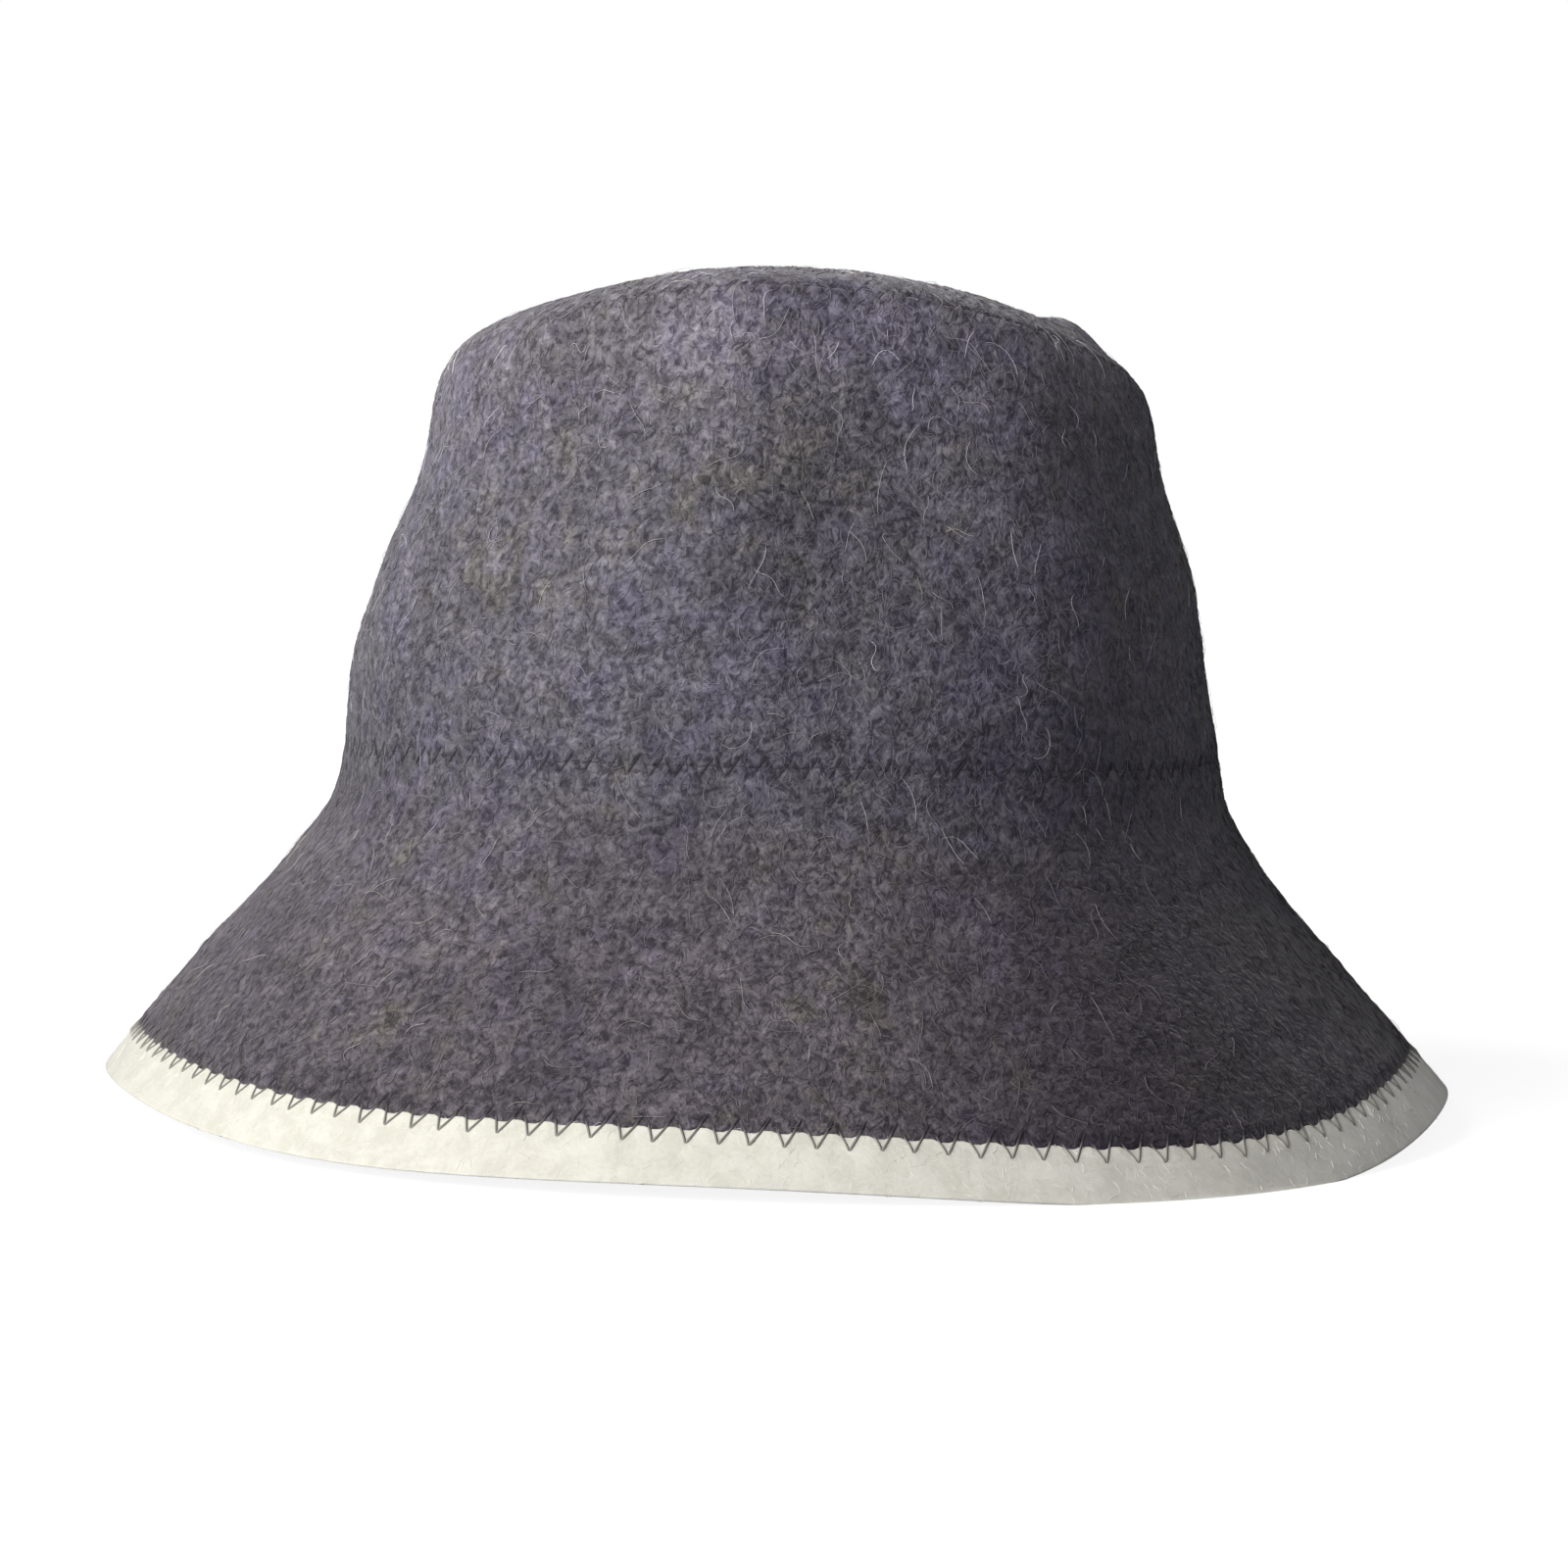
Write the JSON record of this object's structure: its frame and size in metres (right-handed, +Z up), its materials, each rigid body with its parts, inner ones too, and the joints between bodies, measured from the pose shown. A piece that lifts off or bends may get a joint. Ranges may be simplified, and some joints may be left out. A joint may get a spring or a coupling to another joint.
{
  "type": "sauna hat",
  "caption": "Felt sauna hat with an oval-topped crown, a wide flared brim and a light contrasting edge band, resting on its brim.",
  "frame": {"origin": "centre of the hat's footprint, on the surface that it rests on", "axes": "+Z up through the crown, -Y towards the front, +X towards the hat's right-hand side as seen from the front"},
  "size_m": [0.2954, 0.2974, 0.181],
  "materials": {
    "grey_felt": "mottled purple-grey wool felt, matt and hairy",
    "white_felt": "off-white wool felt, matt and soft"
  },
  "bodies": {
    "root": {"crown_top": "grey_felt", "crown_side": "grey_felt", "brim": "grey_felt", "edge_band": "white_felt"}
  },
  "joints": []
}
